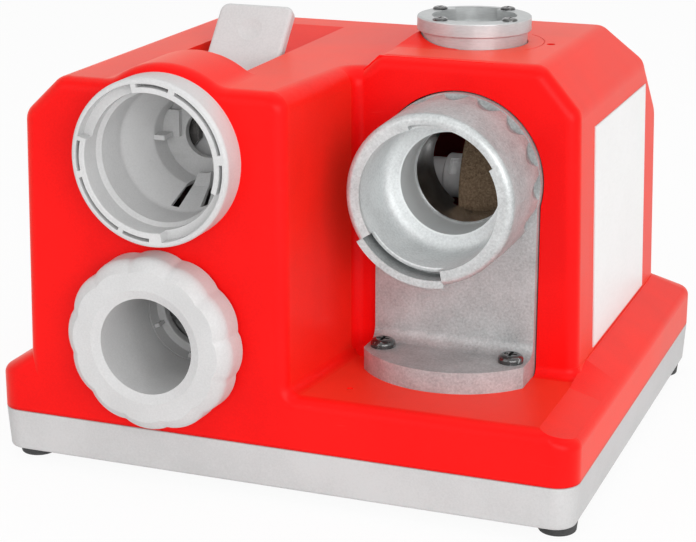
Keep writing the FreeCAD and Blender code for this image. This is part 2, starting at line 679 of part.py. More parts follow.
def build_base():
    half_x = WIDTH / 2
    half_y = DEPTH / 2
    low = outline(rounded_rectangle(half_x - TRAY_TAPER, half_y - TRAY_TAPER, CORNER_R - 1),
                  lambda x, y: V(x, y, FOOT_HEIGHT))
    high = outline(rounded_rectangle(half_x, half_y, CORNER_R), lambda x, y: V(x, y, SEAM_Z))
    tray = Part.makeLoft([low.OuterWire, high.OuterWire], True, True)
    tray = rounded(tray, 1.2, at_z(FOOT_HEIGHT))
    tray = rounded(tray, 0.5, at_z(SEAM_Z))
    inset = TRAY_TAPER + TRAY_WALL + 0.4
    lip_in = WALL + LIP_GAP
    lip = prism_z(rounded_rectangle(half_x - lip_in, half_y - lip_in, CORNER_R - WALL * 0.5),
                  SEAM_Z - 4, SEAM_Z + LIP_HEIGHT)
    hollow = prism_z(rounded_rectangle(half_x - inset, half_y - inset, CORNER_R - WALL - 1),
                     FOOT_HEIGHT + TRAY_FLOOR, SEAM_Z + 20)
    holes = [rod_z(x, y, FOOT_SCREW_R + 0.4, 0, SEAM_Z) for x, y in FOOT_PLACES]
    holes += [rod_z(x, y, DRIVE_SCREW_R + RUNNING, 0, SEAM_Z) for x, y in CRADLE_SCREWS + GUARD_SCREWS]
    PARTS["base_tray"] = fuse([tray, lip]).cut([hollow] + holes)

    hole = FOOT_SCREW_R + 0.4
    seat = 2.6
    well = 4.6
    foot = turned_z(0, 0, [(hole, seat), (well, seat), (well, 0), (FOOT_R - 0.6, 0, 0.8),
                           (FOOT_R, FOOT_HEIGHT), (hole, FOOT_HEIGHT)])
    PARTS["rubber_feet"] = copies(foot, FOOT_PLACES, 0)
    screw = pan_screw(4.0, 2.0, FOOT_SCREW_R, 26.0)
    screw.rotate(V(0, 0, 0), AXIS_X, 180)
    PARTS["foot_screws"] = copies(screw, FOOT_PLACES, seat)


def build_label():
    low, high = LABEL_Z
    draft = math.degrees(math.atan2(BODY_LOW_X - BODY_HIGH_X, CHAMFER_LOW_Z - LEDGE_Z))
    label = box(0, LABEL_T, LABEL_Y[0], LABEL_Y[1], 0, high - low)
    label.rotate(V(0, 0, 0), AXIS_Y, -draft)
    PARTS["side_label"] = placed(label, half_width(low), 0, low)


# Alignment port

def ring_cuts(spans, radii, depth):
    centre = (ALIGN_X, ALIGN_Z)
    return [prism_y(sector(centre, radii, span), ALIGN_FRONT_Y - 1, ALIGN_FRONT_Y + depth) for span in spans]


def spring_finger(middle):
    """Slots that free a springy finger in the wall of the inner tube, round one angle."""
    centre = (ALIGN_X, ALIGN_Z)
    radii = (ALIGN_INNER_R[1] - 1, ALIGN_TUBE_R[0] + 1)
    near = ALIGN_CONE_Y[0] + 2
    far = ALIGN_REAR_Y - 1.5
    edge = FINGER_HALF + FINGER_SLOT
    legs = [(middle - edge, middle - FINGER_HALF), (middle + FINGER_HALF, middle + edge)]
    slots = [prism_y(sector(centre, radii, leg), near, far) for leg in legs]
    return slots + [prism_y(sector(centre, radii, (middle - edge, middle + edge)), far - 2, far)]


def finger_pad(middle):
    """Ramp on the springy finger, rising inwards to the rear."""
    wall = ALIGN_INNER_R[1]
    near, far = FINGER_PAD_Y
    centre = V(ALIGN_X, 0, ALIGN_Z)
    profile = [(wall + 0.6, near), (wall + 0.6, far), (FINGER_PAD_R, far), (FINGER_PAD_R, far - 2),
               (wall, near)]
    ramp = outline(profile, lambda r, y: V(ALIGN_X + r, y, ALIGN_Z))
    pad = ramp.revolve(centre, AXIS_Y, 2 * FINGER_HALF)
    pad.rotate(centre, AXIS_Y, -middle - FINGER_HALF)
    return pad


def build_alignment():
    front = ALIGN_FRONT_Y
    rear = ALIGN_REAR_Y
    cone, neck = ALIGN_CONE_Y
    tube, neck_tube = ALIGN_TUBE_R
    bore, neck_bore = ALIGN_INNER_R
    port = turned_y(ALIGN_X, ALIGN_Z, [
        (ALIGN_BORE_R, front, 0.5), (ALIGN_R, front, 1.5), (ALIGN_R, FRONT_Y), (ALIGN_SLEEVE_R, FRONT_Y),
        (ALIGN_SLEEVE_R, FRONT_Y + 8), (tube, FRONT_Y + 8), (tube, cone), (neck_tube, neck - 0.5),
        (neck_tube, rear), (neck_bore, rear), (neck_bore, neck, 3), (bore, cone, 5), (bore, front + 11),
        (ALIGN_BORE_R, front + 9)])
    port = port.cut(ring_cuts([(102, 164), (-81, -19)], (ALIGN_BORE_R - 1, 29.0), 5.0))
    slits = [(72, 98), (11, 67), (-22, 4), (167, 190), (195, 243), (247, 269)]
    port = port.cut(ring_cuts(slits, (27.6, 28.9), 4.5))
    edge = ALIGN_X - neck_bore - 0.5
    shelf = box(edge, ALIGN_X - 13, neck, rear, ALIGN_Z - 1.2, ALIGN_Z + 0.6)
    stop = box(edge, ALIGN_X - 10.5, rear - 2.5, rear, ALIGN_Z - 1.2, ALIGN_Z + 9)
    port = port.cut(spring_finger(FINGER_ANGLE))
    PARTS["alignment_port"] = fuse([port, finger_pad(FINGER_ANGLE), shelf, stop])

    y = rear
    left = ALIGN_X - GUIDE_HALF
    right = ALIGN_X + GUIDE_HALF
    low = ALIGN_Z - PAWL_HALF_Z - GUIDE_RAIL
    high = ALIGN_Z + PAWL_HALF_Z + GUIDE_RAIL
    plate = box(left, right, y, y + 3, low, high)
    low_rail = box(left, right, y + 3, y + 7, low, low + GUIDE_RAIL - 0.3)
    high_rail = box(left, right, y + 3, y + 7, high - GUIDE_RAIL + 0.3, high)
    disc = rod_y(ALIGN_X, ALIGN_Z, GUIDE_DISC_R, y, y + 3)
    back = box(left, right, y + 7, y + 8.5, low, high)
    guide = fuse([plate, disc, low_rail, high_rail, back])
    PARTS["pawl_guide"] = guide.cut(rod_y(ALIGN_X, ALIGN_Z, GUIDE_HOLE_R, y - 1, y + 5))

    tip = PAWL_TIP
    half = PAWL_HALF_Z
    pawl = prism_y([(tip, -3), (tip + 6, -half), (PAWL_REACH, -half, 2), (PAWL_REACH, half, 2),
                    (tip + 6, half), (tip, 3)], y + 3.3, y + 6.6)
    PARTS["pawl_right"] = placed(pawl, ALIGN_X, 0, ALIGN_Z)
    PARTS["pawl_left"] = placed(pawl.mirror(V(0, 0, 0), AXIS_X), ALIGN_X, 0, ALIGN_Z)


def build_lever():
    lever_y, lever_z = LEVER_PIVOT
    x0, x1 = LEVER_X
    middle_x = (x0 + x1) / 2
    paddle = box(x0, x1, 0, LEVER_LENGTH, -LEVER_THICK / 2, LEVER_THICK / 2)
    paddle = rounded(paddle, 3.6, lambda b: b.YMin > LEVER_LENGTH - 0.01 and b.ZLength > 1)
    paddle = rounded(paddle, 1.6, lambda b: b.YMax > LEVER_LENGTH - 5 and b.ZLength < 1)
    dish_z = LEVER_THICK / 2 + LEVER_DISH_R - LEVER_DISH_DEPTH
    paddle = paddle.cut(Part.makeSphere(LEVER_DISH_R, V(middle_x, LEVER_LENGTH * 0.68, dish_z)))
    paddle.rotate(V(0, 0, 0), AXIS_X, LEVER_ANGLE)
    paddle.translate(V(0, lever_y, lever_z))
    hub = rod_x(lever_y, lever_z, LEVER_HUB_R, x0, x1)
    left = middle_x - LEVER_TAIL_X
    right = middle_x + LEVER_TAIL_X
    tail = box(left, right, lever_y - 3, lever_y + 3, LEVER_TAIL_Z, lever_z)
    arm = box(left, right, lever_y - LEVER_ARM, lever_y + 3, LEVER_TAIL_Z, LEVER_TAIL_Z + 4)
    bore = rod_x(lever_y, lever_z, PIN_R + RUNNING, x0 - 1, x1 + 1)
    PARTS["pawl_lever"] = fuse([paddle, hub, tail, arm]).cut(bore)
    PARTS["lever_pin"] = rod_x(lever_y, lever_z, PIN_R, POCKET_X[0] - WALL, POCKET_X[1] + WALL)

    coil_r = PIN_R + SPRING_WIRE_R + RUNNING
    coil = Part.makeHelix(SPRING_PITCH, SPRING_LENGTH, coil_r)
    wire = Part.Wire(Part.makeCircle(SPRING_WIRE_R, V(coil_r, 0, 0), AXIS_Y).Edges)
    spring = Part.Wire(coil.Edges).makePipeShell([wire], True, True)
    spring.rotate(V(0, 0, 0), AXIS_Y, 90)
    PARTS["lever_spring"] = placed(spring, POCKET_X[0] + 0.6, lever_y, lever_z)


# Chuck

def knob_rim(radius, y):
    """Closed line round the knob: broad lobes that meet in shallow notches."""
    per_lobe = 10
    steps = KNOB_LOBES * per_lobe
    points = []
    for i in range(steps):
        across = i % per_lobe / per_lobe * 2 - 1
        u, v = on_circle(radius - KNOB_NOTCH_DEPTH * across ** 2, KNOB_NOTCH_ANGLE + i * 360 / steps)
        points.append(V(CHUCK_X + u, y, CHUCK_Z + v))
    rim = Part.BSplineCurve()
    rim.interpolate(points, PeriodicFlag=True)
    return Part.Wire(rim.toShape())


def knob_blank():
    """Disc with a notched rim and a shoulder that the notches run out over."""
    rims = [knob_rim(KNOB_R - less, KNOB_FRONT_Y + back) for less, back in KNOB_SHOULDER]
    shoulder = Part.makeLoft(rims, True, False)
    side = Part.makeLoft([rims[-1], knob_rim(KNOB_R, KNOB_REAR_Y)], True, True)
    return fuse([shoulder, side])


def build_chuck():
    front = KNOB_FRONT_Y
    hub = rod_y(CHUCK_X, CHUCK_Z, KNOB_HUB_R, KNOB_REAR_Y - 1, KNOB_HUB_Y)
    mouth = KNOB_BORE_R + 3.5
    bore = turned_y(CHUCK_X, CHUCK_Z, [
        (0, front - 1), (mouth, front - 1), (mouth, front), (KNOB_BORE_R, front + 1.4),
        (KNOB_BORE_R, KNOB_HUB_Y + 1), (0, KNOB_HUB_Y + 1)])
    PARTS["chuck_knob"] = fuse([knob_blank(), hub]).cut(bore)

    front = KNOB_REAR_Y + 0.5
    bore = JAW_R[1] + 0.4
    lip_front, lip_rear = CHUCK_LIP_Y
    body = turned_y(CHUCK_X, CHUCK_Z, [
        (KNOB_HUB_R + RUNNING, front), (CHUCK_R, front), (CHUCK_R, CHUCK_REAR_Y), (12, CHUCK_REAR_Y),
        (12, CHUCK_REAR_Y - 3), (bore, CHUCK_REAR_Y - 3), (bore, lip_rear), (CHUCK_LIP_R, lip_rear, 0.5),
        (CHUCK_LIP_R, lip_front, 0.5), (bore, lip_front), (bore, KNOB_HUB_Y + 0.6),
        (KNOB_HUB_R + RUNNING, KNOB_HUB_Y + 0.6)])
    width, height, length = CHUCK_KEY
    keys = []
    for i in range(CHUCK_KEYS):
        key = box(bore - height, bore + 1, lip_front - length, lip_front + 1, -width / 2, width / 2)
        key.rotate(V(0, 0, 0), AXIS_Y, i * 360 / CHUCK_KEYS - KEY_ANGLE)
        keys.append(placed(key, CHUCK_X, 0, CHUCK_Z))
    PARTS["chuck_body"] = fuse([body] + keys)
    inner, outer = JAW_R
    ring = turned_y(CHUCK_X, CHUCK_Z, [(inner, JAW_Y[1]), (inner, JAW_Y[0] + 9), (outer - 2.5, JAW_Y[0]),
                                       (outer, JAW_Y[0]), (outer, JAW_Y[1])])
    slits = []
    for i in range(JAW_COUNT):
        slit = box(0, outer + 1, JAW_Y[0] - 1, JAW_Y[1] + 1, -JAW_SLIT / 2, JAW_SLIT / 2)
        slit.rotate(V(0, 0, 0), AXIS_Y, 35 + i * 360 / JAW_COUNT)
        slits.append(placed(slit, CHUCK_X, 0, CHUCK_Z))
    PARTS["chuck_jaws"] = ring.cut(slits)
    PARTS["chuck_socket"] = turned_y(CHUCK_X, CHUCK_Z, [
        (SOCKET_R[0], FRONT_Y + 0.4), (SOCKET_R[1], FRONT_Y + 0.4), (SOCKET_R[1], SOCKET_REAR_Y),
        (SOCKET_R[0], SOCKET_REAR_Y)])


# Sharpening port

def ring_part(radii, y_span, degrees):
    return prism_y(sector((BRACKET_X, RING_Z), radii, degrees), y_span[0], y_span[1])


def root_scoops():
    """Shallow scallops round the tube's root, each running out of the surface towards the front."""
    root = PLATE_Y[0]
    scoop = rod_y(0, RING_R[1] + SCOOP_R - SCOOP_DEPTH, SCOOP_R, -SCOOP_REACH, SCOOP_REACH)
    scoop.rotate(V(0, 0, RING_R[1]), AXIS_X, -SCOOP_TILT)
    scoop = scoop.common(box(-WIDTH, WIDTH, -SCOOP_REACH, 0, 0, WIDTH))
    scoop.translate(V(BRACKET_X, root, RING_Z))
    scoops = []
    for i in range(SCOOP_COUNT):
        turned = scoop.copy()
        turned.rotate(V(BRACKET_X, root, RING_Z), AXIS_Y, i * 360 / SCOOP_COUNT)
        scoops.append(turned)
    return scoops


def build_bracket():
    top = SHELF_Z + FOOT_PLATE_T
    plate = arch(0, PLATE_Y[0], PLATE_Y[1])
    left = BRACKET_X - BRACKET_HALF
    right = BRACKET_X + BRACKET_HALF
    side = FOOT_PLATE_SIDE_Y
    foot = prism_z([(left, PLATE_Y[1]), (left, side), (right, side, 0, (BRACKET_X, FOOT_PLATE_FRONT_Y)),
                    (right, PLATE_Y[1])], SHELF_Z, top)
    foot = rounded(foot, FOOT_CORNER_R,
                   lambda b: b.ZLength > 1 and b.XMax < left + 0.1 and b.YMax < side + 0.1)
    body = fuse([plate, foot])
    body = rounded(body, FOOT_FILLET_R, lambda b: at_z(top)(b) and at_y(PLATE_Y[0])(b))
    front = RING_FRONT_Y
    root = PLATE_Y[0] + 1
    mouth_r, root_r = RING_R
    tube = turned_y(BRACKET_X, RING_Z, [(0, front), (mouth_r, front, RING_EDGE_R), (root_r, root), (0, root)])
    tube = tube.cut(root_scoops())
    boss = rod_y(BRACKET_X, RING_Z, RING_BOSS_R, PLATE_Y[1] - 1, RING_REAR_Y)
    step = front + RING_BORE_DEPTH
    bore = turned_y(BRACKET_X, RING_Z, [
        (0, front - 1), (RING_BORE_R, front - 1), (RING_BORE_R - 0.6, step, 4), (RING_STEP_R, step + 1.5),
        (RING_STEP_R, RING_REAR_Y + 5), (0, RING_REAR_Y + 5)])
    lug_inner, lug_outer = RING_LUG_R
    lip = ring_part((lug_inner - 1, lug_outer), (front + 1, front + 16), RING_LUG_SPAN)
    body = fuse([body, tube, boss, lip]).cut(bore)
    before = front - 1
    body = body.cut([ring_part((RING_BORE_R - 2, RING_NOTCH_R), (before, front + 4), RING_NOTCH_SPAN),
                     ring_part((RING_BORE_R - 2, lug_outer + 1), (before, front + 1), RING_LUG_SPAN),
                     ring_part((RING_BORE_R - 2, RING_LEDGE_R), (before, front + 4.5), RING_LUG_SPAN),
                     ring_part((RING_LEDGE_R, lug_inner), (before, front + 10), RING_LUG_SPAN)])
    holes = [rod_z(x, y, BRACKET_SCREW_R + 0.5, SHELF_Z - 1, top + 1) for x, y in BRACKET_SCREWS]
    spot_faces = [rod_z(x, y, BRACKET_HEAD_R + 0.2, top, top + 5) for x, y in BRACKET_SCREWS]
    PARTS["sharpening_bracket"] = body.cut(holes + spot_faces)
    liner = turned_y(BRACKET_X, RING_Z, [(LINER_R, LINER_Y[0]), (RING_STEP_R, LINER_Y[0]),
                                         (RING_STEP_R, LINER_Y[1]), (LINER_R, LINER_Y[1])])
    PARTS["port_liner"] = liner.cut(rod_x(MOTOR_Y, MOTOR_Z, WHEEL_R + 1, WHEEL_X[0] - 2, WIDTH))
    screw = pan_screw(BRACKET_HEAD_R, 3.0, BRACKET_SCREW_R, 14.0)
    PARTS["bracket_screws"] = copies(screw, BRACKET_SCREWS, top)


# Top port

def top_screw_places():
    places = []
    for i in range(4):
        u, v = on_circle(TOP_SCREW_R, TOP_SCREW_ANGLE + 90 * i)
        places.append((TOP_X + u, TOP_Y + v))
    return places


def build_top_port():
    low, high = TOP_FLANGE_Z
    places = top_screw_places()
    holes = [rod_z(x, y, TOP_SCREW_SHANK_R + RUNNING, low - 9, high + 1) for x, y in places]
    under = RIGHT_TOP - WALL
    rim = TOP_BODY_R + 2.2
    body = turned_z(TOP_X, TOP_Y, [
        (TOP_BORE_R, TOP_BODY_LOW_Z), (TOP_BODY_R, TOP_BODY_LOW_Z), (TOP_BODY_R, under - 5), (rim, under - 5),
        (rim, under - 0.8), (TOP_BODY_R, under - 0.8), (TOP_BODY_R, low), (TOP_BORE_R, low)])
    PARTS["top_port_body"] = body.cut(holes)
    bore = TOP_BORE_R + 0.2
    flange = turned_z(TOP_X, TOP_Y, [(bore, low), (TOP_FLANGE_R, low, 0.4), (TOP_FLANGE_R, high, 0.7),
                                     (bore, high, 0.3)])
    cam = prism_z(sector((TOP_X, TOP_Y), (bore - 1, bore + 2.4), (74, 134)), low - 1, high + 1)
    PARTS["top_port_flange"] = flange.cut(holes + [cam])
    PARTS["top_port_screws"] = copies(pan_screw(2.9, 1.0, TOP_SCREW_SHANK_R, 12.0), places, high)


# Motor and wheel

def disc_x(points):
    return turned_x(MOTOR_Y, MOTOR_Z, points)


def sleeve_x(inner, outer, span):
    return disc_x([(inner, span[0]), (outer, span[0]), (outer, span[1]), (inner, span[1])])


def build_motor():
    PARTS["motor_can"] = sleeve_x(CAN_R - CAN_WALL, CAN_R, CAN_X)
    seat = BEARING_R + 0.02
    rim = seat + 3
    inner = SHAFT_R + 1.5
    for name, face, outward in (("left", CAN_X[0], -1), ("right", CAN_X[1], 1)):
        inner_face = face - outward * CAP_T
        outer_face = face + outward * CAP_T
        nose = outer_face + outward * 3
        PARTS["motor_cap_" + name] = disc_x([
            (seat, inner_face), (rim, inner_face), (rim, face), (CAN_R, face), (CAN_R, outer_face, 1),
            (rim, outer_face), (rim, nose, 1), (inner, nose), (inner, outer_face), (seat, outer_face)])
        PARTS["bearing_" + name] = disc_x([
            (SHAFT_R + SHAFT_GAP, inner_face + outward), (BEARING_R, inner_face + outward, 0.5),
            (BEARING_R, outer_face, 0.5), (SHAFT_R + SHAFT_GAP, outer_face)])
    PARTS["stator_core"] = sleeve_x(STATOR_R, CAN_R - CAN_WALL, CORE_X)
    PARTS["rotor_core"] = sleeve_x(SHAFT_R, ROTOR_R, CORE_X)
    PARTS["rotor_shaft"] = rod_x(MOTOR_Y, MOTOR_Z, SHAFT_R, SHAFT_X[0], SHAFT_X[1])
    back = FAN_X[1] - 2
    hub = sleeve_x(SHAFT_R, SHAFT_R + 4, FAN_X)
    disc = sleeve_x(SHAFT_R + 2, FAN_R, (back, FAN_X[1]))
    blades = []
    for i in range(FAN_BLADES):
        blade = box(FAN_X[0], back + 0.5, -0.8, 0.8, SHAFT_R + 3, FAN_R - 0.5)
        blade.rotate(V(0, 0, 0), AXIS_X, i * 360 / FAN_BLADES)
        blades.append(placed(blade, 0, MOTOR_Y, MOTOR_Z))
    PARTS["cooling_fan"] = fuse([hub, disc] + blades)


def build_wheel():
    first, last = ARBOR_X
    near, far = WHEEL_X
    arbor = disc_x([(SHAFT_R, first), (ARBOR_R, first, 0.5), (ARBOR_R, HUB_X), (HUB_R, HUB_X, 1),
                    (HUB_R, last), (WHEEL_BORE_R, last), (WHEEL_BORE_R, far - 1), (SHAFT_R, far - 1)])
    slot = box(HUB_X + 2.5, HUB_X + 6, -3.5, 3.5, HUB_R - 4, HUB_R + 1)
    slot.rotate(V(0, 0, 0), AXIS_X, 50)
    PARTS["wheel_arbor"] = arbor.cut(placed(slot, 0, MOTOR_Y, MOTOR_Z))
    PARTS["grinding_wheel"] = disc_x([(WHEEL_BORE_R, near), (WHEEL_R, near, 1), (WHEEL_R, far, 1),
                                      (WHEEL_BORE_R, far)])
    end = SHAFT_X[1]
    PARTS["wheel_nut"] = disc_x([
        (SHAFT_R, far), (NUT_RIM_R, far, 0.5), (NUT_RIM_R, far + 2), (NUT_R, far + 2), (NUT_R, far + 7, 1),
        (0, far + 7), (0, end), (SHAFT_R, end)])
    centre = (MOTOR_Y, MOTOR_Z)
    floor = FOOT_HEIGHT + TRAY_FLOOR
    shell = prism_x(sector(centre, GUARD_R, GUARD_SPAN), GUARD_X[0], GUARD_X[1])
    cheek = prism_x(sector(centre, (16.0, GUARD_R[1]), GUARD_SPAN), GUARD_X[1], GUARD_X[1] + 1.5)
    leg = box(GUARD_LEG_X[0], GUARD_LEG_X[1], MOTOR_Y - 3, MOTOR_Y + 3, floor, MOTOR_Z - GUARD_R[0] - 0.5)
    left, right = (x for x, _ in GUARD_SCREWS)
    flange = box(left - 6, right + 6, MOTOR_Y - 8, MOTOR_Y + 8, floor, floor + FIXING_T)
    PARTS["wheel_guard"] = fuse([shell, cheek, leg, flange]).cut(fixing_holes(GUARD_SCREWS))


def fixing_holes(places):
    """Clearance holes for the screws that hold the drive to the tray."""
    floor = FOOT_HEIGHT + TRAY_FLOOR
    return [rod_z(x, y, DRIVE_SCREW_R + 0.45, floor - 1, floor + FIXING_T + 1) for x, y in places]


def build_cradle():
    floor = FOOT_HEIGHT + TRAY_FLOOR
    base = box(CRADLE_X[0], CRADLE_X[1], CRADLE_Y[0], CRADLE_Y[1], floor, floor + FIXING_T)
    shapes = [base]
    for x in (CRADLE_X[0] + 2, CRADLE_X[1] - 5):
        shapes.append(prism_x([(MOTOR_Y - 30, floor), (MOTOR_Y + 30, floor), (MOTOR_Y + 30, MOTOR_Z - 16, 3),
                               (MOTOR_Y - 30, MOTOR_Z - 16, 3)], x, x + FIXING_T))
    cradle = fuse(shapes).cut(rod_x(MOTOR_Y, MOTOR_Z, CAN_R, -WIDTH, WIDTH))
    PARTS["motor_cradle"] = cradle.cut(fixing_holes(CRADLE_SCREWS))
    screw = pan_screw(3.6, 2.2, DRIVE_SCREW_R, 6.0)
    PARTS["drive_screws"] = copies(screw, CRADLE_SCREWS + GUARD_SCREWS, floor + FIXING_T)


# Rear fittings

def build_switch():
    bezel = box(SWITCH_X - 12, SWITCH_X + 12, REAR_Y, REAR_Y + 2, SWITCH_Z - 15, SWITCH_Z + 15)
    bezel = rounded(bezel, 2.0, lambda b: b.YLength > 1)
    inner = box(SWITCH_X - 9.4, SWITCH_X + 9.4, REAR_Y - 16, REAR_Y, SWITCH_Z - 12.4, SWITCH_Z + 12.4)
    well = box(SWITCH_X - 7.2, SWITCH_X + 7.2, REAR_Y - 12, REAR_Y + 5, SWITCH_Z - 11.4, SWITCH_Z + 11.4)
    pivot = rod_x(SWITCH_PIVOT_Y, SWITCH_Z, 1.5 + RUNNING, SWITCH_X - 8.5, SWITCH_X + 8.5)
    PARTS["switch_frame"] = fuse([bezel, inner]).cut([well, pivot])
    y = SWITCH_PIVOT_Y
    z = SWITCH_Z
    half = ROCKER_HALF_Z
    rocker = prism_x([(y - 4, z), (y - 1, z - half, 1), (y + 6, z - half, 0.8), (y + 4.6, z, 12),
                      (y + 6, z + half, 0.8), (y - 1, z + half, 1)], SWITCH_X - 6.9, SWITCH_X + 6.9)
    rocker = fuse([rocker, rod_x(y, z, 1.5, SWITCH_X - 8.3, SWITCH_X + 8.3)])
    rocker.rotate(V(SWITCH_X, y, z), AXIS_X, -ROCKER_TILT)
    PARTS["switch_rocker"] = rocker


def build_gland():
    wall = REAR_Y - WALL
    neck = GLAND_HOLE_R - 0.1
    bore = 4.0
    PARTS["cord_gland"] = turned_y(GLAND_X, GLAND_Z, [
        (bore, wall - 5), (9.5, wall - 5, 1), (9.5, wall), (neck, wall), (neck, REAR_Y), (10, REAR_Y),
        (10, REAR_Y + 3, 1.2), (6.5, REAR_Y + 3.5, 1), (6, REAR_Y + 8, 0.8), (bore, REAR_Y + 8)])


def write_parts():
    os.makedirs("parts", exist_ok=True)
    for name, shape in PARTS.items():
        placed(shape, 0, Y_SHIFT, 0).exportStep("parts/%s.step" % name)


def main():
    build_housing()
    build_base()
    build_label()
    build_alignment()
    build_lever()
    build_chuck()
    build_bracket()
    build_top_port()
    build_motor()
    build_wheel()
    build_cradle()
    build_switch()
    build_gland()
    write_parts()


if __name__ == "__main__":
    main()
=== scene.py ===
"""Looks of the bench drill bit sharpener: a finish for every piece, the studio and the camera."""

import bpy
import math
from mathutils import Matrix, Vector


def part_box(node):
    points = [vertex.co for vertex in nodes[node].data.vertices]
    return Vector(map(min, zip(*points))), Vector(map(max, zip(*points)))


MM = 0.001

# Camera
IMAGE_WIDTH = 696
FOCAL_PIXELS = 1913.0
SENSOR_MM = 36.0
CAMERA_TARGET = Vector((-8.51, 6.75, 59.3)) * MM
CAMERA_AZIMUTH = math.radians(20.87)
CAMERA_ELEVATION = math.radians(17.04)
CAMERA_DISTANCE = 788.9 * MM
CAMERA_NEAR = 10.0 * MM

# Studio: each softbox has its place and size in metres and its power in watts
WORLD_LEVEL = 0.46
FLOOR_WHITE = 0.93
FLOOR_GREY = 0.90
FLOOR_ROUGHNESS = 0.9
FLOOR_SIZE = 8.0
LAMP_TARGET = Vector((0.0, 0.0, 0.08))
SOFTBOXES = {
    "overhead_softbox": ((0.1, 0.1, 1.5), (1.8, 1.8), 7.5),
    "front_softbox": ((0.70, -1.70, 0.62), (0.9, 0.7), 8.5),
    "corner_softbox": ((1.45, -1.30, 0.60), (1.0, 0.9), 13.0),
    "left_softbox": ((-0.9, -1.5, 0.75), (1.2, 1.2), 5.0),
    "right_softbox": ((1.7, 0.1, 0.8), (1.2, 1.2), 2.0),
}

# Seam above the tray, and how high its shade reaches
SEAM_Z = 21.7 * MM
SEAM_SHADE = 1.4 * MM

# Inside of the housing that painted shade darkens: low, high and soft edge along each axis
INSIDE_SHADE_X = (-14.0 * MM, 93.0 * MM, 1.5 * MM)
INSIDE_SHADE_Y = (-33.0 * MM, 91.5 * MM, 1.0 * MM)
INSIDE_SHADE_Z = (46.0 * MM, 139.0 * MM, 1.5 * MM)

# Sloping rear shoulder: at this height the painted shade ends between these depths, and above it further
# forward
SHOULDER_Z = 118.0 * MM
SHOULDER_SLOPE = 1.08
SHOULDER_Y = (89.0 * MM, 90.0 * MM)

# Greyer border round the sticker, and its soft edge
LABEL_BORDER = 0.9 * MM
LABEL_SOFT = 0.7 * MM

# Cast sharpening port: its axis (x, z), where its tube leaves the plate, and where its surfaces change
PORT_AXIS = (53.0 * MM, 115.5 * MM)
PORT_ROOT_Y = -42.75 * MM
PORT_RIM = (0.5 * MM, 2.2 * MM)
PORT_SLEEVE_R = (19.7 * MM, 20.1 * MM)
PORT_BORE_R = (26.0 * MM, 26.8 * MM)
PORT_TUBE_R = (28.6 * MM, 30.0 * MM)
PORT_TUBE_Z = (82.5 * MM, 83.2 * MM)

# Scoops round the tube, in front of the plate, darkened by painted shade: low, high and soft edge
SCOOP_SHADE_R = (28.5 * MM, 31.4 * MM, 0.3 * MM)
SCOOP_SHADE_Y = (PORT_ROOT_Y - 16.0 * MM, PORT_ROOT_Y - 0.5 * MM, 0.5 * MM)

# Colours, linear
DEEP_RED = (0.80, 0.0020, 0.0030)
LIGHT_RED = (0.93, 0.0045, 0.0045)
SCUFFED_RED = (0.95, 0.060, 0.050)
SEAM_RED = (0.42, 0.002, 0.002)
WARM_SHEEN = (1.0, 0.36, 0.16, 1.0)
# Painted shade for the inside of the housing
INSIDE_SHADE = (0.040, 0.036, 0.034)
PAPER_SHADE = (0.830, 0.830, 0.822)
PAPER_WHITE = (0.885, 0.885, 0.880)
CUT_EDGE = (0.70, 0.69, 0.68)
CAST_DARK = (0.187, 0.196, 0.197)
CAST_LIGHT = (0.738, 0.762, 0.764)
TURNED_DARK = (0.270, 0.280, 0.280)
TURNED_LIGHT = (0.78, 0.80, 0.80)
OXIDE_DARK = (0.060, 0.057, 0.054)
OXIDE_LIGHT = (0.150, 0.145, 0.140)
IRON_DARK = (0.10, 0.095, 0.09)
IRON_LIGHT = (0.24, 0.23, 0.22)
STONE_DARK = (0.135, 0.088, 0.052)
STONE_LIGHT = (0.29, 0.20, 0.125)
STONE_CLOUD = (0.19, 0.125, 0.075)
STONE_PORE = (0.035, 0.022, 0.014)

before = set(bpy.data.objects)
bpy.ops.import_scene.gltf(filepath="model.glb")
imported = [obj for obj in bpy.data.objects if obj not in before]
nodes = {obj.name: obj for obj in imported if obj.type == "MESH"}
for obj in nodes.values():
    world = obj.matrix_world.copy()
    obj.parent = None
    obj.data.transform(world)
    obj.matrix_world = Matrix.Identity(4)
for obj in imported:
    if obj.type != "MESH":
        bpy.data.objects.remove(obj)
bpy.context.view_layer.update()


class Value:
    """A shader socket that takes part in sums: an expression on it adds its Math nodes."""

    def __init__(self, graph, socket):
        self.graph = graph
        self.socket = socket

    def math(self, operation, *terms):
        return self.graph.node("Math", {"operation": operation}, dict(enumerate(terms)))

    def __add__(self, other):
        return self.math("ADD", self, other)

    __radd__ = __add__

    def __sub__(self, other):
        return self.math("SUBTRACT", self, other)

    def __rsub__(self, other):
        return self.math("SUBTRACT", other, self)

    def __mul__(self, other):
        return self.math("MULTIPLY", self, other)

    __rmul__ = __mul__

    def larger(self, other):
        return self.math("MAXIMUM", self, other)

    def root(self):
        return self.math("SQRT", self)

    def wave(self, pitch):
        """Ripple from -1 to 1 that repeats every pitch."""
        return self.math("SINE", self * (2 * math.pi / pitch))

    def span(self, low, high):
        """0 below low, 1 above high and a smooth step between them."""
        return self.graph.node("MapRange", {"interpolation_type": "SMOOTHSTEP"},
                               {"Value": self, "From Min": low, "From Max": high})

    def band(self, low, high, soft):
        """1 between low and high, fading to 0 outside them."""
        return self.span(low - soft, low) * (1 - self.span(high, high + soft))

    def output(self, key):
        """Another output of the node that this value comes from."""
        return Value(self.graph, self.socket.node.outputs[key])


